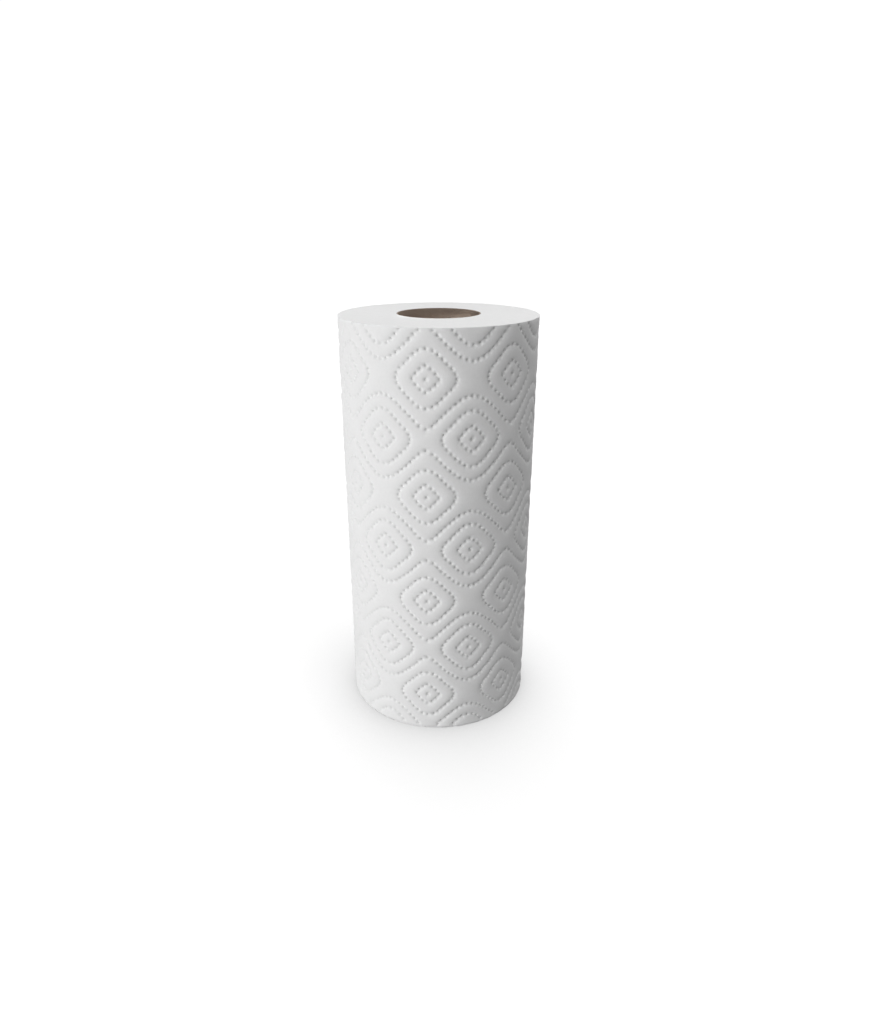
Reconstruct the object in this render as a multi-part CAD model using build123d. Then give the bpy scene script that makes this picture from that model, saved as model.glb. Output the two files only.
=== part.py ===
from build123d import *
import math
import os

# Kitchen paper roll, standing on end. Millimetres, +Z up.
# Origin: the roll's axis at its bottom end. The front is -Y, +X is to the right.
# Azimuths below are counted from the front (-Y) towards +X, in degrees.

# ---- driving dimensions ----------------------------------------------------
roll_diameter = 105.0      # mean diameter of the outermost turn
roll_height = 225.0        # width of the paper web; paper and tube are sawn flush
tube_bore_diameter = 42.8  # clear hole through the cardboard tube
tube_wall = 0.7            # two spirally wound plies of thin board
turn_pitch = 0.49          # radial build-up of one turn: embossed two-ply web, wound soft
sheet_length = 250.0       # from one perforation to the next, along the web
tail_azimuth = 223.5       # where the outermost sheet ends, round the back

# the perforation across the web: slits through the outermost turn, with bonds between
slit_length = 5.6
bond_length = 1.4
slit_width = 0.25
slit_depth = 0.40          # just under one turn, so the turn below stays whole

# ---- derived ---------------------------------------------------------------
mean_radius = roll_diameter / 2
bore_radius = tube_bore_diameter / 2
tube_radius = bore_radius + tube_wall
turns = (mean_radius - tube_radius) / turn_pitch
web_length = math.pi * (mean_radius**2 - tube_radius**2) / turn_pitch

# ---- the outermost turn ----------------------------------------------------
# The web's outer face is a spiral that falls by one turn_pitch in a full turn.
# It is drawn as four quarter arcs, tangent where they meet. Their centres are
# the corners of a small square on the axis, a quarter of a turn_pitch a side.
# The spiral starts at the tail edge, where the web's end stands one turn_pitch
# proud of the turn below, and goes round until it meets that edge again.
side = turn_pitch / 4
first_radius = mean_radius + 1.5 * side
centres = [
    (side / 2, -side / 2),
    (side / 2, side / 2),
    (-side / 2, side / 2),
    (-side / 2, -side / 2),
]


def on_arc(quarter, turned):
    """A point of one quarter arc, at so many degrees on from the tail edge."""
    radius = first_radius - quarter * side
    cx, cy = centres[quarter]
    a = math.radians(turned)
    return (cx + radius * math.cos(a), cy + radius * math.sin(a))


edges = []
start = tail_outer = on_arc(0, 0)
for quarter in range(4):
    middle = on_arc(quarter, 90 * quarter + 45)
    end = on_arc(quarter, 90 * quarter + 90)
    edges.append(ThreePointArc(start, middle, end))
    start = end
edges.append(Line(start, tail_outer))  # the cut end of the web

outline = make_face(Wire(edges))
paper = extrude(outline - Circle(tube_radius), amount=roll_height)

# ---- the perforation one sheet back along the web from the tail ------------
turned = math.degrees(sheet_length / mean_radius)
surface_radius = math.hypot(*on_arc(int(turned // 90), turned))
slit_pitch = slit_length + bond_length
count = int(roll_height // slit_pitch)
margin = (roll_height - count * slit_length - (count - 1) * bond_length) / 2
reach = 1.0  # the cutting boxes stand this far out of the paper
slits = [
    Rot(0, 0, turned)
    * Pos(
        surface_radius + (reach - slit_depth) / 2,
        0,
        margin + slit_length / 2 + n * slit_pitch,
    )
    * Box(slit_depth + reach, slit_width, slit_length)
    for n in range(count)
]
paper = paper - slits

# turned from the tail edge at +X to its azimuth, where azimuth 0 is -Y
paper = Rot(0, 0, tail_azimuth - 90) * paper
paper.label = "paper_roll"

# ---- the cardboard tube ----------------------------------------------------
# Flush with the paper at both ends. The innermost turn is wound straight on it.
tube = extrude(Circle(tube_radius) - Circle(bore_radius), amount=roll_height)
tube.label = "core_tube"

os.makedirs("parts", exist_ok=True)
export_step(paper, "parts/paper_roll.step")
export_step(tube, "parts/core_tube.step")

print("turns", round(turns, 1), "web mm", round(web_length), "sheets", round(web_length / sheet_length, 1))
print("perforation azimuth", round((tail_azimuth + turned) % 360, 1), "slits", count, "margin", round(margin, 2))
print("paper mm3", round(paper.volume), "tube mm3", round(tube.volume))
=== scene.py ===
import math

import bmesh
import bpy
import numpy as np
from mathutils import Euler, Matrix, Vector, kdtree
from mathutils.geometry import delaunay_2d_cdt


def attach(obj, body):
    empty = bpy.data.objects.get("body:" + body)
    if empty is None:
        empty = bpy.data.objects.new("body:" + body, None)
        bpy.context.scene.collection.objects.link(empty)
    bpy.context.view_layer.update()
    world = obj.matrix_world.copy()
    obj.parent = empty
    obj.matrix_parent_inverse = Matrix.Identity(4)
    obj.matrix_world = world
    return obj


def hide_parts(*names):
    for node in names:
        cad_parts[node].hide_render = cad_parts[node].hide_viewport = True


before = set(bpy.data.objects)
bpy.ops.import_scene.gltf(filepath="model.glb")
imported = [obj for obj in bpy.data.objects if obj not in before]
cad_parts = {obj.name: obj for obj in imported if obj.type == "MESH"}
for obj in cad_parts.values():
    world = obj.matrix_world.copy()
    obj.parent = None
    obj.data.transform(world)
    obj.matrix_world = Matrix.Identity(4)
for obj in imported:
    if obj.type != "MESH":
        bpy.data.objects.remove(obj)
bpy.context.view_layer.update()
scene = bpy.context.scene
rng = np.random.default_rng(20)
MM = 0.001

# ---- dimensions of the roll, in millimetres --------------------------------
RADIUS = 52.5  # mean radius of the outermost turn
HEIGHT = 225.0
TUBE_R = 22.1  # where the paper meets the tube
BORE_R = 21.4
PITCH = 0.49  # radial build-up of one turn
TAIL = 223.5  # azimuth of the tail edge, from the front (-Y) towards +X
SHEET = 250.0  # from the tail edge to the perforation, along the web
LENGTH = 2 * math.pi * RADIUS  # of the outermost turn
SIDE = PITCH / 4
FIRST_R = RADIUS + 1.5 * SIDE
ROUNDING = 0.12  # of the sawn edges

# ---- the embossing ---------------------------------------------------------
# It repeats every CELL_U along the web and every CELL_Z across it. One cell
# holds two motifs, the second half a cell on both ways, and two zigzag lines.
CELL_U = 50.08 * math.pi / 180 * RADIUS
CELL_Z = 59.45
FIRST_U = (360 - 6.6 - TAIL) * math.pi / 180 * RADIUS  # a motif's centre, from the tail edge
FIRST_Z = 22.8
SKEW = -0.004  # the pattern drops a little along the web

# dots of one quadrant, from the top round to the right, about the motif's centre
SMALL_RING = [(0, 6.37), (2.53, 4.86), (4.79, 2.56), (6.56, 0)]
LARGE_RING = [
    (0, 14.18), (3.35, 13.39), (5.84, 11.55), (8.14, 9.32),
    (10.27, 7.05), (12.53, 4.92), (14.31, 2.36), (14.96, 0),
]
# the zigzag, from above one motif's centre to beside it, half a cell on
ZIGZAG = [
    (0, 24.28), (3.35, 22.67), (5.74, 20.44), (7.81, 18.21), (10.04, 16.01),
    (12.34, 13.95), (14.6, 12.04), (17.16, 10.17), (19.98, 8.92), (CELL_U / 2, 8.30),
]

VALLEY_DEPTH = 0.64  # of the soft crease that the dots lie in
VALLEY_REACH = 3.6  # from its line to where the paper is level again
VALLEY_SOFTNESS = 0.45
PIT_DEPTH = 0.60  # of a dot, below the crease
PIT_U, PIT_Z = 0.93, 1.06  # half its width and half its height


def ring(quadrant):
    """A closed ring of points from one quadrant, clockwise from the top."""
    q = quadrant
    return (
        q
        + [(x, -y) for x, y in q[-2::-1]]
        + [(-x, -y) for x, y in q[1:]]
        + [(-x, y) for x, y in q[-2:0:-1]]
    )


def smooth_line(points, wrap):
    """Points every quarter millimetre or so along a smooth line through points. wrap is what one full period adds."""
    p = np.array(points, float)
    n = len(p)
    out = []
    for k in range(n):
        around = []
        for j in (k - 1, k, k + 1, k + 2):
            around.append(p[j % n] + np.array(wrap) * (j // n))
        a, b, c, d = around
        t = np.arange(0, 1, 1 / 12)[:, None]
        out.append(
            0.5 * (2 * b + (c - a) * t + (2 * a - 5 * b + 4 * c - d) * t**2 + (3 * b - a - 3 * c + d) * t**3)
        )
    return np.concatenate(out)


# every line of one cell as (its dots in order, what one period adds)
half = [(x, y) for x, y in ZIGZAG]
zig = [(-x, y) for x, y in half[-2:0:-1]] + half
lines = []
for cu, cz in ((0.0, 0.0), (CELL_U / 2, CELL_Z / 2)):
    for quadrant in (SMALL_RING, LARGE_RING):
        lines.append(([(x + cu, y + cz) for x, y in ring(quadrant)], (0.0, 0.0)))
lines.append((zig, (CELL_U, 0.0)))
lines.append(([(x, -y) for x, y in zig], (CELL_U, 0.0)))

dots = []  # u, z, direction of the line there
for points, wrap in lines:
    n = len(points)
    for k, (u, z) in enumerate(points):
        before = np.array(points[k - 1]) - (np.array(wrap) if k == 0 else 0)
        after = np.array(points[(k + 1) % n]) + (np.array(wrap) if k == n - 1 else 0)
        d = after - before
        dots.append((u, z, math.atan2(d[1], d[0])))
for cu, cz in ((0.0, 0.0), (CELL_U / 2, CELL_Z / 2)):
    dots.append((cu, cz, 0.0))
dots = np.array(dots)

# distance from the nearest line, on a fine periodic grid over one cell
NU, NZ = 306, 396
samples = [smooth_line(points, wrap) for points, wrap in lines]
samples.append(dots[-2:, :2])
samples = np.concatenate(samples)
samples[:, 0] %= CELL_U
samples[:, 1] %= CELL_Z
spread = [samples + (i * CELL_U, j * CELL_Z) for i in (-1, 0, 1) for j in (-1, 0, 1)]
spread = np.concatenate(spread)
near = (
    (spread[:, 0] > -6) & (spread[:, 0] < CELL_U + 6) & (spread[:, 1] > -6) & (spread[:, 1] < CELL_Z + 6)
)
spread = spread[near]
tree = kdtree.KDTree(len(spread))
for k, (u, z) in enumerate(spread):
    tree.insert((u, z, 0.0), k)
tree.balance()
away = np.array(
    [[tree.find((i * CELL_U / NU, j * CELL_Z / NZ, 0.0))[2] for i in range(NU)] for j in range(NZ)]
)
valley = -VALLEY_DEPTH * np.clip(1 - away / VALLEY_REACH, 0, None) ** 2
fu = np.fft.fftfreq(NU, CELL_U / NU)
fz = np.fft.fftfreq(NZ, CELL_Z / NZ)
soften = np.exp(-2 * (math.pi * VALLEY_SOFTNESS) ** 2 * (fu[None, :] ** 2 + fz[:, None] ** 2))
valley = np.fft.ifft2(np.fft.fft2(valley) * soften).real


def crease(u, z):
    """Height of the soft relief without the dots, at places on the web."""
    u = np.asarray(u, float) - FIRST_U
    a = (u / CELL_U % 1.0) * NU
    b = ((np.asarray(z, float) - FIRST_Z - SKEW * (u - 30)) / CELL_Z % 1.0) * NZ
    i, j = np.floor(a).astype(int), np.floor(b).astype(int)
    s, t = a - i, b - j
    i0, j0, i1, j1 = i % NU, j % NZ, (i + 1) % NU, (j + 1) % NZ
    return (
        valley[j0, i0] * (1 - s) * (1 - t) + valley[j0, i1] * s * (1 - t)
        + valley[j1, i0] * (1 - s) * t + valley[j1, i1] * s * t
    )


def slack(u, z):
    """Slow unevenness of a softly wound roll."""
    u, z = np.asarray(u, float), np.asarray(z, float)
    return (
        0.04 * np.sin(u / 31.0 + 0.7 + 0.4 * np.sin(z / 37.0))
        + 0.03 * np.sin(z / 29.0 + 1.9 + 0.5 * np.sin(u / 43.0))
        + 0.02 * np.sin(u / 11.0 + z / 17.0)
        + 0.02
    )


def relief(u, z):
    u, z = np.asarray(u, float), np.asarray(z, float)
    pressed = -0.10 * np.exp(-(((u - SHEET) / 0.9) ** 2))
    # the saw leaves the creases shallower at the two ends
    kept = 0.38 + 0.62 * np.clip(np.minimum(z, HEIGHT - z) / 3.4, 0, 1)
    return crease(u, z) * kept + slack(u, z) + pressed


# ---- where the web lies ----------------------------------------------------
def on_web(u, rise, z):
    """Points at u along the web from its tail edge, at a height over its face, at z. Past the end of the turn it goes on under the tail."""
    u, rise, z = np.broadcast_arrays(np.asarray(u, float), np.asarray(rise, float), np.asarray(z, float))
    turned = np.clip(u / LENGTH * 360.0, 0.0, 360.0)
    quarter = np.clip(np.floor(turned / 90.0), 0, 3).astype(int)
    cx = np.array([SIDE, SIDE, -SIDE, -SIDE])[quarter] / 2
    cy = np.array([-SIDE, SIDE, SIDE, -SIDE])[quarter] / 2
    r = FIRST_R - quarter * SIDE + rise
    a = np.radians(turned)
    x, y = cx + r * np.cos(a), cy + r * np.sin(a)
    t = math.radians(TAIL - 90)
    return np.stack([x * math.cos(t) - y * math.sin(t), x * math.sin(t) + y * math.cos(t), z], -1)


FLAP = 16.0  # the loose end of the web, from the tail edge to where it lies down
flap_columns = [0.0, 3.0, 7.0, 11.5, FLAP]


def loose(z):
    """How loose the end is at z: it lies closer to the roll at the top."""
    return 1 - 0.78 * np.exp(-(HEIGHT - np.asarray(z, float)) / 26.0)


def lift(u, z):
    """How far the loose end stands off the roll."""
    u, z = np.asarray(u, float), np.asarray(z, float)
    most = 1.0 + 0.16 * np.sin(z / 21.0 + 0.6) + 0.10 * np.sin(z / 8.3) + 0.45 * np.exp(-z / 22.0)
    return most * loose(z) * np.clip(1 - u / FLAP, 0, None) ** 1.8


# ---- vertices and faces ----------------------------------------------------
verts, faces, kinds = [], [], []
web_at = []  # u and z of every vertex
WALL, TOP, BOTTOM, INNER, UNDER, LOWER, EDGE = range(7)


def add(points, u, z):
    """Adds vertices and returns their numbers."""
    points = np.atleast_2d(points)
    first = len(verts)
    verts.extend(map(tuple, points))
    u, z = np.broadcast_to(u, len(points)), np.broadcast_to(z, len(points))
    web_at.extend(zip(u.tolist(), z.tolist()))
    return list(range(first, first + len(points)))


def face(kind, *ids):
    ids = [a for k, a in enumerate(ids) if a != ids[k - 1]]
    if len(ids) > 2:
        faces.append(ids)
        kinds.append(kind)


def zip_rows(kind, row_a, at_a, row_b, at_b):
    """Triangles between two rows of vertices that run side by side, at_a and at_b saying how far along each one is."""
    i = j = 0
    while i < len(row_a) - 1 or j < len(row_b) - 1:
        if j == len(row_b) - 1 or (i < len(row_a) - 1 and at_a[i + 1] <= at_b[j + 1]):
            face(kind, row_a[i], row_a[i + 1], row_b[j])
            i += 1
        else:
            face(kind, row_a[i], row_b[j + 1], row_b[j])
            j += 1


# ---- the wall --------------------------------------------------------------
low_z, high_z = ROUNDING, HEIGHT - ROUNDING
slit_count, slit_long, slit_pitch = 32, 5.6, 7.0
margin = (HEIGHT - slit_count * slit_long - (slit_count - 1) * (slit_pitch - slit_long)) / 2

# the tail edge was torn along a perforation too: its bonds stand out as short teeth
tail_z, tooth = [low_z], [0.0]
for k in range(slit_count):
    z0 = margin + k * slit_pitch
    for z, out in ((0.1, 0), (2.8, 0), (5.5, 0), (5.8, 1), (6.8, 1)):
        if low_z + 0.4 < z0 + z < high_z - 0.4:
            tail_z.append(z0 + z)
            tooth.append(out * (0.3 + 0.15 * rng.random()))
tail_z.append(high_z)
tooth.append(0.0)
tail_z, tooth = np.array(tail_z), np.array(tooth)

# dots of the whole web, each a little different
placed = []
for i in range(-4, 10):
    for j in range(-1, 5):
        for u, z, d in dots:
            placed.append((FIRST_U + i * CELL_U + u, FIRST_Z + j * CELL_Z + z, d))
placed = np.array(placed)
placed[:, 1] += SKEW * (placed[:, 0] - FIRST_U - 30)
placed[:, 0] += rng.normal(0, 0.04, len(placed))
placed[:, 1] += rng.normal(0, 0.04, len(placed))
off = placed[:, 0] - SHEET
hit = np.abs(off) < 1.2
placed[hit & (np.abs(off) > 0.45), 0] = (SHEET + np.sign(off) * 1.2)[hit & (np.abs(off) > 0.45)]
inside = (
    (placed[:, 0] > 1.45) & (placed[:, 0] < LENGTH - 1.3)
    & (placed[:, 1] > 0.85) & (placed[:, 1] < HEIGHT - 0.85)
    & ~(hit & (np.abs(off) <= 0.45))
)
placed = placed[inside]
depth = PIT_DEPTH * np.clip(rng.normal(1, 0.07, len(placed)), 0.8, 1.2)
size = np.clip(rng.normal(1, 0.03, len(placed)), 0.92, 1.08)
# those at the sawn ends are cut short
room = (np.minimum(placed[:, 1], HEIGHT - placed[:, 1]) - 0.35) / PIT_Z
size = np.minimum(size, room)
depth *= np.clip(room / 0.9, 0.5, 1.0)

flat_u, flat_z, rise = [], [], []


def lay(u, z, h):
    first = len(flat_u)
    flat_u.extend(np.atleast_1d(u).tolist())
    flat_z.extend(np.atleast_1d(z).tolist())
    rise.extend(np.broadcast_to(h, len(np.atleast_1d(u))).tolist())
    return list(range(first, len(flat_u)))


# the rows round the two ends, and the two edges at the tail
around_u = np.concatenate([np.linspace(0, FLAP, 10)[:-1], np.linspace(FLAP, LENGTH, 185)])
bottom_row = lay(around_u, np.full(len(around_u), low_z), relief(around_u, low_z))
top_row = lay(around_u, np.full(len(around_u), high_z), relief(around_u, high_z))
start_row = lay(np.zeros(len(tail_z) - 2), tail_z[1:-1], relief(0.0, tail_z[1:-1]))
end_row = lay(np.full(len(tail_z) - 2, LENGTH), tail_z[1:-1], relief(LENGTH, tail_z[1:-1]))
start_row = [bottom_row[0]] + start_row + [top_row[0]]
end_row = [bottom_row[-1]] + end_row + [top_row[-1]]

# the perforation: V-shaped slits, and the pressed strip that they stand in
constraints = []
for k in range(slit_count):
    z0 = margin + k * slit_pitch
    z1 = z0 + slit_long
    zs = np.array([z0 + 0.3, z0 + 2.0, z0 + 3.7, z1 - 0.3])
    tips = lay([SHEET, SHEET], [z0, z1], relief([SHEET, SHEET], [z0, z1]))
    for side, cut in ((-0.15, 0.0), (0.0, -0.40), (0.15, 0.0)):
        row = lay(np.full(4, SHEET + side), zs, relief(SHEET + side, zs) + cut)
        path = [tips[0]] + row + [tips[1]]
        constraints += list(zip(path[:-1], path[1:]))

# the dots: a centre, a ring near the bottom and a rim
dot_first = len(flat_u)
lay(placed[:, 0], placed[:, 1], relief(placed[:, 0], placed[:, 1]) - depth)
for count, first, share, left in ((6, 0.3, 0.52, 0.78), (8, 0.0, 1.0, 0.0)):
    a = placed[:, 2][:, None] + first + np.arange(count) * 2 * math.pi / count
    pu = (placed[:, 0][:, None] + PIT_U * share * size[:, None] * np.cos(a)).ravel()
    pz = (placed[:, 1][:, None] + PIT_Z * share * size[:, None] * np.sin(a)).ravel()
    lay(pu, pz, relief(pu, pz) - left * np.repeat(depth, count))

dot_count = len(placed)
# painted shade: how much the paper's colour is darkened at each point, as shade in the dots' hollows; full at a dot's
# centre, 0.85 on its inner ring
painted_pit_shade = np.zeros(len(flat_u))
painted_pit_shade[dot_first : dot_first + dot_count] = 1.0
painted_pit_shade[dot_first + dot_count : dot_first + 7 * dot_count] = 0.85

# the paper between them: rows along both sides of every line, then an even fill
candidates = []
for points, wrap in lines:
    n = len(points)
    p = np.array(points)
    nxt = np.roll(p, -1, axis=0)
    nxt[-1] += wrap
    prv = np.roll(p, 1, axis=0)
    prv[0] -= wrap
    along = nxt - prv
    across = np.stack([-along[:, 1], along[:, 0]], -1) / np.linalg.norm(along, axis=1)[:, None]
    step = nxt - p
    step_across = np.stack([-step[:, 1], step[:, 0]], -1) / np.linalg.norm(step, axis=1)[:, None]
    for s in (-1, 1):
        for q in p + s * 1.85 * across:
            candidates.append((0, q[0], q[1]))
        for q in (p + nxt) / 2 + s * 1.55 * step_across:
            candidates.append((0, q[0], q[1]))
        for q in (p + nxt) / 2 + s * 3.1 * step_across:
            candidates.append((1, q[0], q[1]))
fill = 2.25
rows = int(round(CELL_Z / (fill * 0.866)))
rows += rows % 2
columns = int(round(CELL_U / fill))
for j in range(rows):
    for i in range(columns):
        candidates.append((2, (i + 0.5 * (j % 2)) * CELL_U / columns, j * CELL_Z / rows))
candidates.sort(key=lambda c: c[0])
kept = dots[:, :2] % (CELL_U, CELL_Z)
clear = [1.5] * len(kept)
kept = kept.tolist()
own = []
for order, u, z in candidates:
    u, z = u % CELL_U, z % CELL_Z
    k = np.array(kept)
    du = np.abs(k[:, 0] - u)
    dz = np.abs(k[:, 1] - z)
    du, dz = np.minimum(du, CELL_U - du), np.minimum(dz, CELL_Z - dz)
    room = np.maximum(np.array(clear), (0.95, 1.25, 1.6)[order])
    if (np.hypot(du, dz) > room).all():
        kept.append([u, z])
        clear.append(0.0)
        own.append((u, z))
own = np.array(own)
shifts = [(FIRST_U + i * CELL_U, FIRST_Z + j * CELL_Z) for i in range(-4, 10) for j in range(-1, 5)]
between = np.concatenate([own + s for s in shifts])
between[:, 1] += SKEW * (between[:, 0] - FIRST_U - 30)
strip = np.array(
    [(SHEET + s, z) for s in (-1.5, -0.7, 0.7, 1.5) for z in np.arange(1.4, HEIGHT - 1, 1.75 if abs(s) < 1 else 2.1)]
)
busy = kdtree.KDTree(len(placed))
for k, (u, z, d) in enumerate(placed):
    busy.insert((u, z, 0.0), k)
busy.balance()
strip = np.array([q for q in strip if busy.find((q[0], q[1], 0.0))[2] > 1.45])
between = between[
    (between[:, 0] > 0.8) & (between[:, 0] < LENGTH - 0.8)
    & (between[:, 1] > low_z + 0.75) & (between[:, 1] < high_z - 0.75)
    & (np.abs(between[:, 0] - SHEET) > 2.2)
]
between = np.concatenate([between, strip])
lay(between[:, 0], between[:, 1], relief(between[:, 0], between[:, 1]))

flat_u, flat_z, rise = np.array(flat_u), np.array(flat_z), np.array(rise)
found = delaunay_2d_cdt(
    [Vector((u, z)) for u, z in zip(flat_u, flat_z)], constraints, [], 0, 1e-7, True
)
new_points, _, triangles, origin = found[0], found[1], found[2], found[3]
if len(new_points) != len(flat_u):
    raise RuntimeError(f"the wall's points fell together or crossed: {len(flat_u)} in, {len(new_points)} out")
back = [o[0] for o in origin]
# the loose end stands off, and its torn bonds reach past its edge
shown_u = flat_u.copy()
shown_u[start_row] -= tooth
spots = on_web(flat_u, rise + lift(flat_u, flat_z), flat_z)
ahead = on_web(np.full(len(tail_z), 0.0), relief(0.0, tail_z) + lift(0.0, tail_z), tail_z)
t = math.radians(TAIL)
spots[start_row] = ahead - tooth[:, None] * np.array([math.cos(t), math.sin(t), 0.0])
wall = add(spots, 0.0, 0.0)
for k in wall:
    web_at[k] = (shown_u[k], flat_z[k])
painted_pit_shade = painted_pit_shade.tolist()
for tri in triangles:
    face(WALL, *[wall[back[k]] for k in tri])

# ---- under the loose end ---------------------------------------------------
bottom_row, top_row = [wall[k] for k in bottom_row], [wall[k] for k in top_row]
start_row, end_row = [wall[k] for k in start_row], [wall[k] for k in end_row]
THICK = 0.5  # of the embossed web


def sunk(u, z):
    """Height of the turn below, under the loose end, over the web's own face there."""
    u, z = np.asarray(u, float), np.asarray(z, float)
    level = -PITCH - 0.95 * loose(z)
    into = np.clip(u / 4.0, 0, 1)
    out_of = np.clip((FLAP - u) / 4.0, 0, 1)
    into, out_of = into**2 * (3 - 2 * into), out_of**2 * (3 - 2 * out_of)
    first = -PITCH + relief(LENGTH, z)
    last = -PITCH + 0.78 * relief(FLAP, z)
    return level + (first - level) * (1 - into) + (last - level) * (1 - out_of)


def underside(u, z):
    u, z = np.asarray(u, float), np.asarray(z, float)
    own_face = relief(u, z) + lift(u, z) - THICK
    return np.where(u >= FLAP, sunk(u, z), np.maximum(own_face, sunk(u, z) + 0.05))


lower_grid = [end_row]
under_grid = []
for u in flap_columns:
    if u > 0:
        p = on_web(u, sunk(u, tail_z), tail_z)
        lower_grid.append(add(p, LENGTH + u, tail_z))
    if u == FLAP:
        under_grid.append(lower_grid[-1])
    else:
        p = on_web(u, underside(u, tail_z), tail_z)
        if u == 0:
            p = p - tooth[:, None] * np.array([math.cos(t), math.sin(t), 0.0])
        under_grid.append(add(p, u, tail_z))
for grid, kind in ((lower_grid, LOWER), (under_grid, UNDER)):
    for a, b in zip(grid[:-1], grid[1:]):
        for k in range(len(tail_z) - 1):
            face(kind, a[k], b[k], b[k + 1], a[k + 1])
for k in range(len(tail_z) - 1):
    face(EDGE, start_row[k], start_row[k + 1], under_grid[0][k + 1], under_grid[0][k])

# ---- the sawn ends ---------------------------------------------------------
# Every turn shows as a low ridge between two grooves, along the spiral.
TURNS = 62
columns_u = np.array(flap_columns + list(np.linspace(FLAP, LENGTH, 97))[1:])
nc = len(columns_u) - 1
nf = len(flap_columns) - 1


def settled(u, z):
    """The relief at a sawn end, as the turns below follow it: the lowest nearby."""
    return np.min([relief(u + d, z) for d in (-2.4, -1.6, -0.8, 0.0, 0.8, 1.6, 2.4)], axis=0)


inner_rows = []
for end, kind, wall_row, sign in ((HEIGHT, TOP, top_row, 1), (0.0, BOTTOM, bottom_row, -1)):
    edge_z = end - sign * ROUNDING
    k_end = -1 if sign > 0 else 0
    face_of = on_web(columns_u, 0.0, end)
    radius = np.hypot(face_of[:, 0], face_of[:, 1])
    # radial displacement of the turns under the outermost one
    push = 0.85 * settled(columns_u, edge_z) * math.exp(-PITCH / 2)
    push[: nf + 1] = sunk(columns_u[: nf + 1], edge_z) + PITCH
    push[nf] = 0.78 * relief(FLAP, edge_z)
    own_push = 0.85 * settled(columns_u, edge_z) + lift(columns_u, edge_z)
    # each turn stands a little higher or lower than the next, changing slowly along the spiral
    knots = rng.normal(0, 1, (TURNS + 2) * 6 + 1)
    knots = np.convolve(knots, [0.25, 0.5, 0.25], "same")

    def down(turn, column, groove):
        at = (turn + 1 - columns_u[column] / LENGTH) * 6
        k = int(at)
        wave = knots[k] * (1 - at + k) + knots[k + 1] * (at - k)
        return 0.022 + 0.014 * wave + (0.030 if groove else 0.0)

    def ring_point(column, turn, groove):
        """A vertex of a groove, or of the ridge inside it, so many whole turns in from the surface."""
        deep = turn * PITCH + (0 if groove else PITCH / 2)
        if turn == 0 and not groove:
            rise_here = own_push[column] * math.exp(-deep / 2)
            if column <= nf:
                rise_here = own_push[column] - 0.02 * deep
        else:
            rise_here = push[column] * math.exp(-(deep - PITCH) / 2.0)
        r = radius[column] - deep + rise_here
        p = face_of[column] * (r / radius[column])
        p[2] = end - sign * max(0.0, down(turn, column, groove))
        return p

    # the outermost edge: the wall's row, then the rounded corner
    wall_u = np.array([web_at[k][0] for k in wall_row])
    wall_u[0] = 0.0
    at_wall = relief(wall_u, edge_z) + lift(wall_u, edge_z)
    corner = on_web(wall_u, at_wall - ROUNDING, end)
    corner = add(corner, wall_u, end)
    for k in range(len(wall_row) - 1):
        face(WALL, wall_row[k], wall_row[k + 1], corner[k + 1], corner[k])

    # grooves[m][column] and ridges[m][column]. The last column is the first one of the next turn in.
    grooves = [[None] * (nc + 1) for _ in range(TURNS + 1)]
    ridges = [[None] * (nc + 1) for _ in range(TURNS)]
    for m in range(1, TURNS + 1):
        for c in range(nc):
            if m == TURNS and c > 0:
                continue
            if m == 1 and c == 0:
                grooves[m][c] = corner[-1]
            elif m == 1 and c <= nf:
                grooves[m][c] = None  # filled below from the turn under the loose end
            else:
                grooves[m][c] = add(ring_point(c, m, True), columns_u[c], end)[0]
    for m in range(TURNS):
        for c in range(nc):
            if m == TURNS - 1 and c > 0:
                continue
            ridges[m][c] = add(ring_point(c, m, False), columns_u[c], end)[0]
    for c in range(1, nf + 1):
        p = np.array(verts[lower_grid[c][k_end]])
        p[2] = end
        grooves[1][c] = add(p, columns_u[c], end)[0]
    for m in range(1, TURNS):
        grooves[m][nc] = grooves[m + 1][0]
    for m in range(TURNS - 1):
        ridges[m][nc] = ridges[m + 1][0]
    # the turn under the loose end meets its surface in a short upright edge
    for c in range(nf):
        a0 = lower_grid[c][k_end]
        a1 = lower_grid[c + 1][k_end]
        b0 = grooves[1][c] if c > 0 else corner[-1]
        face(LOWER, a0, a1, grooves[1][c + 1], b0)
    # the loose end's own cut: between its underside and its face
    under_ring = []
    for c in range(nf):
        p = np.array(verts[under_grid[c][k_end]])
        p[2] = end
        under_ring.append(add(p, columns_u[c], end)[0])
    under_ring.append(grooves[1][nf])
    for c in range(nf):
        face(UNDER, under_grid[c][k_end], under_grid[c + 1][k_end], under_ring[c + 1], under_ring[c])
        face(kind, under_ring[c], under_ring[c + 1], ridges[0][c + 1], ridges[0][c])
    face(EDGE, wall_row[0], corner[0], under_ring[0], under_grid[0][k_end])
    face(kind, corner[0], ridges[0][0], under_ring[0])
    # between the outermost edge and the first ridge
    zip_rows(kind, corner, wall_u, [ridges[0][c] for c in range(nc + 1)], columns_u)
    # all the other turns
    for c in range(nf, nc):
        face(kind, ridges[0][c], ridges[0][c + 1], grooves[1][c + 1], grooves[1][c])
    for m in range(1, TURNS - 1):
        for c in range(nc):
            face(kind, grooves[m][c], grooves[m][c + 1], ridges[m][c + 1], ridges[m][c])
            face(kind, ridges[m][c], ridges[m][c + 1], grooves[m + 1][c + 1], grooves[m + 1][c])
    # the innermost turn lies on the tube
    spots = face_of * (TUBE_R / radius)[:, None]
    spots[:, 2] = end
    hole = add(spots[:-1], columns_u[:-1], end)
    hole.append(hole[0])
    m = TURNS - 1
    face(kind, grooves[m][0], grooves[m][1], ridges[m][0])
    face(kind, ridges[m][0], grooves[m][1], hole[1])
    face(kind, ridges[m][0], hole[1], grooves[TURNS][0])
    face(kind, grooves[TURNS][0], hole[1], hole[0])
    for c in range(1, nc):
        face(kind, grooves[m][c], grooves[m][c + 1], hole[c + 1], hole[c])
    inner_rows.append(hole)

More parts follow.
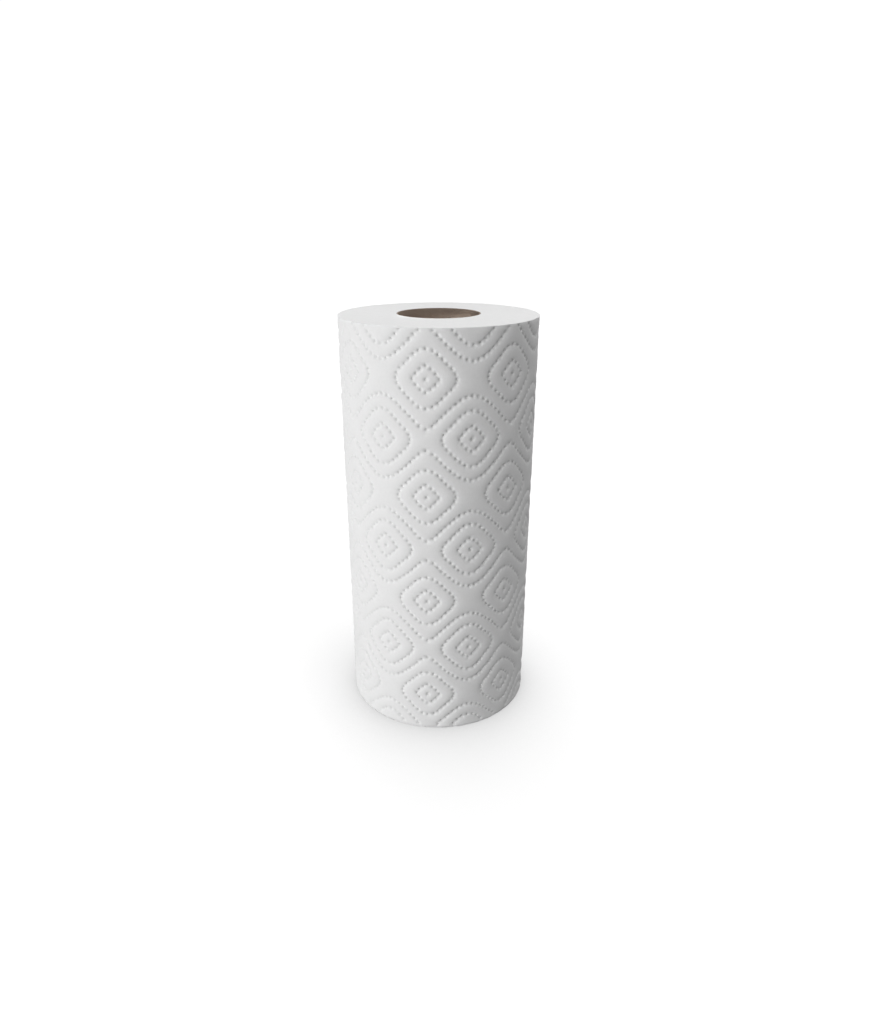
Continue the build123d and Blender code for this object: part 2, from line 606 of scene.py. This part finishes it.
# the face against the tube
rows = [inner_rows[1]]
for z in (45.0, 90.0, 135.0, 180.0):
    p = np.array([verts[k] for k in inner_rows[1][:-1]])
    p[:, 2] = z
    row = add(p, columns_u[:-1], z)
    rows.append(row + [row[0]])
rows.append(inner_rows[0])
for a, b in zip(rows[:-1], rows[1:]):
    for c in range(nc):
        face(INNER, a[c], a[c + 1], b[c + 1], b[c])

print("roll: vertices", len(verts), "faces", len(faces), "triangles", sum(len(f) - 2 for f in faces))


# ---- making meshes ---------------------------------------------------------
def outward(mesh):
    bm = bmesh.new()
    bm.from_mesh(mesh)
    bmesh.ops.recalc_face_normals(bm, faces=bm.faces)
    bm.to_mesh(mesh)
    bm.free()


def domed(points):
    """The points in millimetres, with the sawn top rising a little towards the tube."""
    points = np.array(points, float)
    inward = np.clip((RADIUS - 2.5 - np.hypot(points[:, 0], points[:, 1])) / (RADIUS - 2.5 - TUBE_R), 0, 1)
    upward = np.clip((points[:, 2] - (HEIGHT - 40)) / 40, 0, 1)
    points[:, 2] += 0.25 * inward * upward
    return points


def make_piece(name, points, polygons, flat, web, corners, pressed=()):
    """A mesh object from points in millimetres. flat says which faces aren't smoothed, web gives the coordinates that
    the material follows, corners gives each face's places on the flat map, in millimetres, and pressed says how far in
    a dot each point is, which the material darkens as painted shade."""
    mesh = bpy.data.meshes.new(name)
    mesh.from_pydata((domed(points) * MM).tolist(), [], polygons)
    mesh.polygons.foreach_set("use_smooth", [not f for f in flat])
    made = mesh.attributes.new("web", "FLOAT_VECTOR", "POINT")
    made.data.foreach_set("vector", np.array(web, np.float32).ravel())
    # the pressed attribute: how much the colour is darkened there, as painted shade in the dots
    made = mesh.attributes.new("pressed", "FLOAT", "POINT")
    made.data.foreach_set("value", list(pressed) + [0.0] * (len(points) - len(pressed)))
    layer = mesh.uv_layers.new(name="OFBake")
    flat_map = np.concatenate([np.array(c, np.float32) for c in corners])
    layer.data.foreach_set("uv", (flat_map / MAP_SIDE).ravel())
    outward(mesh)
    mesh.validate()
    mesh.update()
    piece = bpy.data.objects.new(name, mesh)
    scene.collection.objects.link(piece)
    return piece


MAP_SIDE = 359.0


def map_corners(polygon, kind):
    out = []
    for k in polygon:
        u, z = web_at[k]
        x, y, _ = verts[k]
        if kind == WALL:
            out.append((2.5 + u, 1 + z))
        elif kind == LOWER:
            out.append((2.5 + (u + LENGTH if u < LENGTH - 1 else u), 1 + z))
        elif kind == EDGE:
            out.append((2.5 + u - (0.6 if k not in at_surface else 0.0), 1 + z))
        elif kind == UNDER:
            out.append((2 + z, 341 + (u - LENGTH if u > LENGTH - 1 else u)))
        elif kind == INNER:
            wraps = u == 0 and any(web_at[j][0] > LENGTH / 2 for j in polygon)
            out.append((229 + (LENGTH if wraps else u) * 0.34, 231 + z * 0.47))
        else:
            out.append(((56.5 if kind == TOP else 169.0) + x, 285 + y))
    return out


at_surface = set(start_row) | {k for f, q in zip(faces, kinds) if q == WALL for k in f}
sawn = [0.0] * len(verts)
for f, q in zip(faces, kinds):
    if q in (TOP, BOTTOM):
        for k in f:
            sawn[k] = 1.0
for f, q in zip(faces, kinds):
    if q == WALL:
        for k in f:
            sawn[k] = 0.0
roll = make_piece(
    "wound_paper",
    verts,
    faces,
    [q in (TOP, BOTTOM) for q in kinds],
    [(u, z, s) for (u, z), s in zip(web_at, sawn)],
    [map_corners(f, q) for f, q in zip(faces, kinds)],
    painted_pit_shade,
)

# ---- the tube --------------------------------------------------------------
# Two plies of board wound as a spiral. The inner ply's edges meet in a fine groove.
ROUND = 2 * math.pi * BORE_R
LEAD = 90.4  # how far the groove rises in one turn
OUTER_R = TUBE_R - 0.03
verts, faces, kinds, web_at = [], [], [], []
BORE, RIM, BACK = range(3)
slope = LEAD / ROUND
edge = 0.10
across = 0.28 / math.cos(math.atan(slope))  # half the groove's width, measured along z
crossings = [z for k in range(-3, 4) for z in (31.0 + k * LEAD,)]
flat_u, flat_z, rise, constraints = [], [], [], []
n_round = 96
low_z, high_z = edge, HEIGHT - edge
seam = [low_z]
groove_z = [c + d for c in crossings for d in (-across, 0, across) if low_z + 0.3 < c + d < high_z - 0.3]
for z in np.arange(6.0, HEIGHT - 4, 7.0):
    if all(abs(z - g) > 1.5 for g in groove_z):
        seam.append(float(z))
seam = sorted(seam + groove_z + [high_z])
bottom_s, top_s = list(np.linspace(0, ROUND, n_round + 1)), list(np.linspace(0, ROUND, n_round + 1))
paths = []
for c in crossings:
    for d, cut in ((-across, 0.0), (0.0, 0.16), (across, 0.0)):
        z0, z1 = c + d, c + d + LEAD
        s0, s1 = 0.0, ROUND
        if z0 < low_z:
            s0, z0 = (low_z - z0) / slope, low_z
        if z1 > high_z:
            s1, z1 = ROUND - (z1 - high_z) / slope, high_z
        if s1 - s0 > 1.0 and z0 < high_z - 0.3 and z1 > low_z + 0.3:
            paths.append((s0, z0, s1, z1, cut))
for s0, z0, s1, z1, cut in paths:
    for at, row in ((s0 if z0 == low_z else None, bottom_s), (s1 if z1 == high_z else None, top_s)):
        if at is not None and 0.3 < at < ROUND - 0.3:
            row[:] = [s for s in row if abs(s - at) > 0.35 or s in (0.0, ROUND) or s in [p[0] for p in paths] + [p[2] for p in paths]] + [at]
bottom_s.sort()
top_s.sort()


def lay_one(s, z, h):
    flat_u.append(s)
    flat_z.append(z)
    rise.append(h)
    return len(flat_u) - 1


spot = {}
for row, z in ((bottom_s, low_z), (top_s, high_z)):
    for s in row:
        spot[(round(s, 6), round(z, 6))] = lay_one(s, z, 0.0)
for z in seam[1:-1]:
    deep = 0.16 if any(abs(z - c) < 1e-9 for c in crossings) else 0.0
    for s in (0.0, ROUND):
        spot[(round(s, 6), round(z, 6))] = lay_one(s, z, deep)
for s0, z0, s1, z1, cut in paths:
    count = max(1, int(round((s1 - s0) / 1.6)))
    path = []
    for q in np.linspace(0, 1, count + 1):
        s, z = s0 + (s1 - s0) * q, z0 + (z1 - z0) * q
        key = (round(s, 6), round(z, 6))
        if key not in spot:
            spot[key] = lay_one(s, z, cut)
        elif cut:
            rise[spot[key]] = cut
        path.append(spot[key])
    constraints += list(zip(path[:-1], path[1:]))
for j, z in enumerate(np.arange(4.0, HEIGHT - 2, 4.5)):
    for i in range(48):
        s = (i + 0.5 * (j % 2) + 0.25) * ROUND / 48
        gap = min(abs((z - c - s * slope)) for c in crossings)
        if gap > 1.8 and 0.8 < s < ROUND - 0.8:
            lay_one(s, z, 0.0)
found = delaunay_2d_cdt([Vector(q) for q in zip(flat_u, flat_z)], constraints, [], 0, 1e-7, True)
if len(found[0]) != len(flat_u):
    raise RuntimeError(f"the tube's points fell together or crossed: {len(flat_u)} in, {len(found[0])} out")
back = [o[0] for o in found[3]]


def on_tube(s, r, z):
    a = np.asarray(s, float) / BORE_R
    r = np.broadcast_to(r, np.shape(a))
    return np.stack([r * np.sin(a), -r * np.cos(a), np.broadcast_to(z, np.shape(a))], -1)


flat_u, flat_z, rise = np.array(flat_u), np.array(flat_z), np.array(rise)
# the board isn't quite even
uneven = 0.03 * np.sin(flat_u / ROUND * 4 * math.pi + 0.8) * np.sin(flat_z / 60 + 0.4)
ids = add(on_tube(flat_u, BORE_R + rise + uneven * np.minimum(1, np.minimum(flat_z, HEIGHT - flat_z) / 8), flat_z), 0.0, 0.0)
for k in ids:
    web_at[k] = (flat_u[k], flat_z[k])
start = {round(flat_z[k], 6): k for k in ids if flat_u[k] == 0.0}
joined = {k: start[round(flat_z[k], 6)] for k in ids if flat_u[k] == ROUND}
for tri in found[2]:
    face(BORE, *[back[k] for k in tri])
n_rim = 96
angles = np.linspace(0, ROUND, n_rim + 1)
outer_rows = []
for end, row_s, z_in, sign in ((HEIGHT, top_s, high_z, 1), (0.0, bottom_s, low_z, -1)):
    row = [spot[(round(s, 6), round(z_in, 6))] for s in row_s]
    last_row, last_at = row, np.array(row_s)
    for r, down_by, kind in (
        (BORE_R + edge, 0.0, RIM),
        (21.72, 0.0, RIM),
        (21.75, 0.05, RIM),
        (21.78, 0.0, RIM),
        (OUTER_R - edge, 0.0, RIM),
        (OUTER_R, edge, RIM),
    ):
        wavy = 0.015 * (1 + np.sin(angles[:-1] / ROUND * 2 * math.pi * 9 + r * 3))
        ring_ids = add(on_tube(angles[:-1], r, end - sign * (down_by + wavy)), 0.0, end)
        for k, s in zip(ring_ids, angles):
            web_at[k] = (s, end + sign * (r - BORE_R))
        ring_ids = ring_ids + [ring_ids[0]]
        zip_rows(kind, last_row, last_at, ring_ids, angles)
        last_row, last_at = ring_ids, angles
    outer_rows.append(last_row)
rows = [outer_rows[1]]
for z in (60.0, 112.5, 165.0):
    ring_ids = add(on_tube(angles[:-1], OUTER_R, z), 0.0, z)
    for k, s in zip(ring_ids, angles):
        web_at[k] = (s, z)
    rows.append(ring_ids + [ring_ids[0]])
rows.append(outer_rows[0])
for a, b in zip(rows[:-1], rows[1:]):
    for c in range(n_rim):
        face(BACK, a[c], a[c + 1], b[c + 1], b[c])


def tube_corners(polygon, kind):
    wraps = any(web_at[k][0] > ROUND * 0.6 for k in polygon)
    out = []
    for k in polygon:
        s, z = web_at[k]
        if wraps and s < ROUND * 0.3:
            s += ROUND
        x, y, _ = verts[k]
        if kind == BORE:
            out.append((3 + s * 2.4, 3 + z * 1.1))
        elif kind == BACK:
            out.append((3 + s * 1.6, 268 + z * 0.35))
        else:
            out.append(((28 if verts[k][2] > 100 else 80) + 232 + x * 0.95, 308 + y * 0.95))
    return out


corners = [tube_corners(f, q) for f, q in zip(faces, kinds)]
faces = [[joined.get(k, k) for k in f] for f in faces]
used = sorted({k for f in faces for k in f})
at_rim = {k for f, q in zip(faces, kinds) if q == RIM for k in f} - {k for f, q in zip(faces, kinds) if q == BORE for k in f}
number = {k: i for i, k in enumerate(used)}
tube = make_piece(
    "board_tube",
    [verts[k] for k in used],
    [[number[k] for k in f] for f in faces],
    [q == RIM for q in kinds],
    [(web_at[k][0], web_at[k][1], float(k in at_rim)) for k in used],
    corners,
)
print("tube: vertices", len(used), "faces", len(faces))


# ---- materials -------------------------------------------------------------
def material(name):
    mat = bpy.data.materials.new(name)
    mat.use_nodes = True
    nt = mat.node_tree
    nt.nodes.clear()
    out = nt.nodes.new("ShaderNodeOutputMaterial")
    shader = nt.nodes.new("ShaderNodeBsdfPrincipled")
    nt.links.new(shader.outputs["BSDF"], out.inputs["Surface"])
    return mat, nt, shader


def noise(nt, vector, scale, detail=2.0, rough=0.5):
    n = nt.nodes.new("ShaderNodeTexNoise")
    n.inputs["Scale"].default_value = scale
    n.inputs["Detail"].default_value = detail
    n.inputs["Roughness"].default_value = rough
    nt.links.new(vector, n.inputs["Vector"])
    return n.outputs["Fac"]


def maths(nt, operation, a, b):
    n = nt.nodes.new("ShaderNodeMath")
    n.operation = operation
    for socket, value in zip(n.inputs, (a, b)):
        if isinstance(value, (int, float)):
            socket.default_value = value
        else:
            nt.links.new(value, socket)
    return n.outputs[0]


def stretched(nt, vector, x, y, z):
    n = nt.nodes.new("ShaderNodeVectorMath")
    n.operation = "MULTIPLY"
    nt.links.new(vector, n.inputs[0])
    n.inputs[1].default_value = (x, y, z)
    return n.outputs[0]


def ramp(nt, fac, stops):
    n = nt.nodes.new("ShaderNodeValToRGB")
    n.color_ramp.interpolation = "EASE"
    while len(n.color_ramp.elements) < len(stops):
        n.color_ramp.elements.new(0.5)
    for e, (at, colour) in zip(n.color_ramp.elements, stops):
        e.position = at
        e.color = (*colour, 1)
    nt.links.new(fac, n.inputs["Fac"])
    return n.outputs["Color"]


def spread_of(nt, fac, low, high, to_low, to_high):
    n = nt.nodes.new("ShaderNodeMapRange")
    nt.links.new(fac, n.inputs["Value"])
    for name, value in (("From Min", low), ("From Max", high), ("To Min", to_low), ("To Max", to_high)):
        n.inputs[name].default_value = value
    return n.outputs["Result"]


# soft two-ply paper: a fine crepe across the web, felted fibres, a slight cockle
paper, nt, shader = material("soft_paper")
web = nt.nodes.new("ShaderNodeAttribute")
web.attribute_name = "web"
where = nt.nodes.new("ShaderNodeTexCoord").outputs["Object"]
sawn_part = nt.nodes.new("ShaderNodeSeparateXYZ")
nt.links.new(web.outputs["Vector"], sawn_part.inputs[0])
sawn_part = sawn_part.outputs["Z"]
crepe = noise(nt, stretched(nt, web.outputs["Vector"], 1 / 0.55, 1 / 5.0, 0), 1.0, 3.0, 0.6)
fibres = noise(nt, where, 2600.0, 3.0, 0.65)
cockle = noise(nt, where, 210.0, 2.0, 0.5)
clouds = noise(nt, where, 620.0, 3.0, 0.6)
whole = maths(nt, "SUBTRACT", 1.0, sawn_part)
height = maths(nt, "MULTIPLY", maths(nt, "MULTIPLY", crepe, whole), 0.030)
height = maths(nt, "ADD", height, maths(nt, "MULTIPLY", fibres, 0.020))
height = maths(nt, "ADD", height, maths(nt, "MULTIPLY", cockle, 0.06))
bump = nt.nodes.new("ShaderNodeBump")
bump.inputs["Distance"].default_value = MM
bump.inputs["Strength"].default_value = 1.0
nt.links.new(height, bump.inputs["Height"])
nt.links.new(bump.outputs["Normal"], shader.inputs["Normal"])
tone = maths(nt, "ADD", maths(nt, "MULTIPLY", clouds, 0.6), maths(nt, "MULTIPLY", fibres, 0.4))
white = ramp(nt, tone, [(0.30, (0.775, 0.775, 0.775)), (0.50, (0.805, 0.805, 0.805)), (0.70, (0.825, 0.825, 0.825))])
# the two plies are pressed together in the dots; there the colour is darkened by up to 9 %, as painted shade in their
# hollows
pressed = nt.nodes.new("ShaderNodeAttribute")
pressed.attribute_name = "pressed"
# painted light: the sawn ends are made 2 % lighter, standing in for the light that falls on the top face
share = maths(nt, "ADD", maths(nt, "MULTIPLY", pressed.outputs["Fac"], -0.09), maths(nt, "MULTIPLY", sawn_part, 0.02))
scaled = nt.nodes.new("ShaderNodeVectorMath")
scaled.operation = "SCALE"
nt.links.new(white, scaled.inputs[0])
nt.links.new(maths(nt, "ADD", share, 1.0), scaled.inputs["Scale"])
nt.links.new(scaled.outputs[0], shader.inputs["Base Color"])
nt.links.new(spread_of(nt, fibres, 0.3, 0.7, 0.86, 0.98), shader.inputs["Roughness"])
shader.inputs["Specular IOR Level"].default_value = 0.25
roll.data.materials.append(paper)

# grey-brown board made from waste paper: mottled, with light and dark fibres
board, nt, shader = material("tube_board")
web = nt.nodes.new("ShaderNodeAttribute")
web.attribute_name = "web"
where = nt.nodes.new("ShaderNodeTexCoord").outputs["Object"]
turned = nt.nodes.new("ShaderNodeVectorRotate")
turned.rotation_type = "Z_AXIS"
turned.inputs["Angle"].default_value = -math.atan(slope)
nt.links.new(web.outputs["Vector"], turned.inputs["Vector"])
grain = noise(nt, stretched(nt, turned.outputs["Vector"], 1 / 5.0, 1 / 0.7, 0), 1.0, 3.0, 0.6)
mottle = noise(nt, where, 330.0, 4.0, 0.6)
fine = noise(nt, where, 1900.0, 3.0, 0.7)
tone = maths(nt, "ADD", maths(nt, "MULTIPLY", grain, 0.35), maths(nt, "MULTIPLY", mottle, 0.35))
tone = maths(nt, "ADD", tone, maths(nt, "MULTIPLY", fine, 0.30))
plain = ramp(nt, tone, [(0.30, (0.227, 0.171, 0.132)), (0.50, (0.304, 0.238, 0.190)), (0.70, (0.376, 0.301, 0.244))])
# the sawn rim has a little paper dust in it
rim = nt.nodes.new("ShaderNodeSeparateXYZ")
nt.links.new(web.outputs["Vector"], rim.inputs[0])
dusty = nt.nodes.new("ShaderNodeMix")
dusty.data_type = "RGBA"
nt.links.new(maths(nt, "MULTIPLY", rim.outputs["Z"], spread_of(nt, fine, 0.3, 0.7, 0.0, 0.25)), dusty.inputs[0])
nt.links.new(plain, dusty.inputs[6])
dusty.inputs[7].default_value = (0.66, 0.63, 0.59, 1)
nt.links.new(dusty.outputs[2], shader.inputs["Base Color"])
height = maths(nt, "ADD", maths(nt, "MULTIPLY", grain, 0.05), maths(nt, "MULTIPLY", fine, 0.03))
bump = nt.nodes.new("ShaderNodeBump")
bump.inputs["Distance"].default_value = MM
nt.links.new(height, bump.inputs["Height"])
nt.links.new(bump.outputs["Normal"], shader.inputs["Normal"])
nt.links.new(spread_of(nt, mottle, 0.3, 0.7, 0.72, 0.90), shader.inputs["Roughness"])
shader.inputs["Specular IOR Level"].default_value = 0.3
tube.data.materials.append(board)

# ---- the frame's pieces ----------------------------------------------------
for piece, node, slot in ((roll, "paper_roll", "paper"), (tube, "core_tube", "cardboard")):
    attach(piece, "root")
    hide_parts(node)

# ---- floor, light and camera -----------------------------------------------
bpy.ops.mesh.primitive_plane_add(size=12.0, location=(0, 0, 0))
floor = bpy.context.object
floor.name = "studio_floor"
FLOOR = 0.93
ground = bpy.data.materials.new("studio_floor")
ground.use_nodes = True
nt = ground.node_tree
nt.nodes.clear()
out = nt.nodes.new("ShaderNodeOutputMaterial")
path = nt.nodes.new("ShaderNodeLightPath")
# seen by the camera: a glowing white sweep with painted shade from ambient occlusion, a soft wide shade round the roll
# and a narrow darker one where it stands
shade = FLOOR
for reach, power, share in ((0.06, 2.0, 0.76), (0.30, 1.0, 0.35)):
    near = nt.nodes.new("ShaderNodeAmbientOcclusion")
    near.samples = 6
    near.inputs["Distance"].default_value = reach
    hidden = maths(nt, "POWER", maths(nt, "SUBTRACT", 1.0, near.outputs["AO"]), power)
    shade = maths(nt, "SUBTRACT", shade, maths(nt, "MULTIPLY", hidden, share))
# painted shade: inside the tube the floor is painted nearly dark, for the camera and in the glow it gives the roll
place = nt.nodes.new("ShaderNodeNewGeometry")
out_of_it = nt.nodes.new("ShaderNodeVectorMath")
out_of_it.operation = "LENGTH"
nt.links.new(place.outputs["Position"], out_of_it.inputs[0])
clear_of_tube_shade = maths(nt, "GREATER_THAN", out_of_it.outputs["Value"], 0.035)
glow = nt.nodes.new("ShaderNodeEmission")
shade = maths(nt, "MAXIMUM", maths(nt, "MULTIPLY", shade, clear_of_tube_shade), 0.03)
nt.links.new(shade, glow.inputs["Strength"])
lit = nt.nodes.new("ShaderNodeBsdfDiffuse")
lit.inputs["Color"].default_value = (0.15, 0.15, 0.15, 1)
both = nt.nodes.new("ShaderNodeAddShader")
nt.links.new(glow.outputs[0], both.inputs[0])
nt.links.new(lit.outputs[0], both.inputs[1])
# seen by the roll: an even glow from below
bounce = nt.nodes.new("ShaderNodeEmission")
nt.links.new(spread_of(nt, clear_of_tube_shade, 0.0, 1.0, 0.02, 0.235), bounce.inputs["Strength"])
mix = nt.nodes.new("ShaderNodeMixShader")
nt.links.new(path.outputs["Is Camera Ray"], mix.inputs[0])
nt.links.new(bounce.outputs[0], mix.inputs[1])
nt.links.new(both.outputs[0], mix.inputs[2])
nt.links.new(mix.outputs[0], out.inputs["Surface"])
floor.data.materials.append(ground)

world = bpy.data.worlds.new("studio")
scene.world = world
world.use_nodes = True
nt = world.node_tree
nt.nodes.clear()
out = nt.nodes.new("ShaderNodeOutputWorld")
path = nt.nodes.new("ShaderNodeLightPath")
around = nt.nodes.new("ShaderNodeBackground")
around.inputs["Strength"].default_value = 0.20
behind = nt.nodes.new("ShaderNodeBackground")
behind.inputs["Strength"].default_value = 1.05
for b in (around, behind):
    b.inputs["Color"].default_value = (1, 1, 1, 1)
mix = nt.nodes.new("ShaderNodeMixShader")
nt.links.new(path.outputs["Is Camera Ray"], mix.inputs[0])
nt.links.new(around.outputs[0], mix.inputs[1])
nt.links.new(behind.outputs[0], mix.inputs[2])
nt.links.new(mix.outputs[0], out.inputs["Surface"])


def direction(azimuth, elevation):
    """Towards an azimuth from the front (-Y) and an elevation, in degrees."""
    a, e = math.radians(azimuth), math.radians(elevation)
    return Vector((math.sin(a) * math.cos(e), -math.cos(a) * math.cos(e), math.sin(e)))


def lamp(name, kind, way, location):
    data = bpy.data.lights.new(name, kind)
    made = bpy.data.objects.new(name, data)
    scene.collection.objects.link(made)
    made.location = location
    made.rotation_euler = (-way).to_track_quat("-Z", "Y").to_euler()
    return data, made


# a wide, low softbox at the front left, and a weaker one behind for the sides that the front doesn't show
for name, azimuth, elevation, width, depth, power in (("key", -54, 0.5, 1.70, 0.28, 22.6), ("rear", 163, 0.5, 1.10, 0.28, 8.0)):
    way = direction(azimuth, elevation)
    data, made = lamp(name, "AREA", way, way * 1.6 + Vector((0, 0, 0.15)))
    data.shape, data.size, data.size_y, data.energy = "RECTANGLE", width, depth, power
    made.visible_camera = False
# two large soft lights from above, right and behind
for name, azimuth, elevation, strength in (("right", 60, 60, 1.00), ("back", 190, 60, 1.73)):
    way = direction(azimuth, elevation)
    data, made = lamp(name, "SUN", way, way * 2)
    data.angle, data.energy = math.radians(40), strength

# four narrow ones that reach into the tube, by way of its hole
for azimuth, energy in ((-50, 57.0), (-32, 16.5), (-14, 21.6), (15, 10.0)):
    way = direction(azimuth, 31)
    data, made = lamp("tube", "SPOT", way, way * 0.9 + Vector((0, 0, 0.2235)))
    data.spot_size, data.spot_blend, data.shadow_soft_size, data.energy = math.radians(1.45), 0.8, 0.004, energy

camera = bpy.data.cameras.new("camera")
camera.sensor_fit = "AUTO"
camera.sensor_width = 36.0
camera.lens = 25.116
camera.clip_start, camera.clip_end = 0.01, 30.0
view = bpy.data.objects.new("camera", camera)
scene.collection.objects.link(view)
view.location = (0.00016, -0.3849, 0.2721)
view.rotation_euler = Euler((math.radians(90 - 22.514), 0, 0))
scene.camera = view
scene.view_settings.view_transform = "Standard"
scene.view_settings.look = "None"
scene.view_settings.exposure = 0.0
scene.view_settings.gamma = 1.0

bpy.context.view_layer.update()
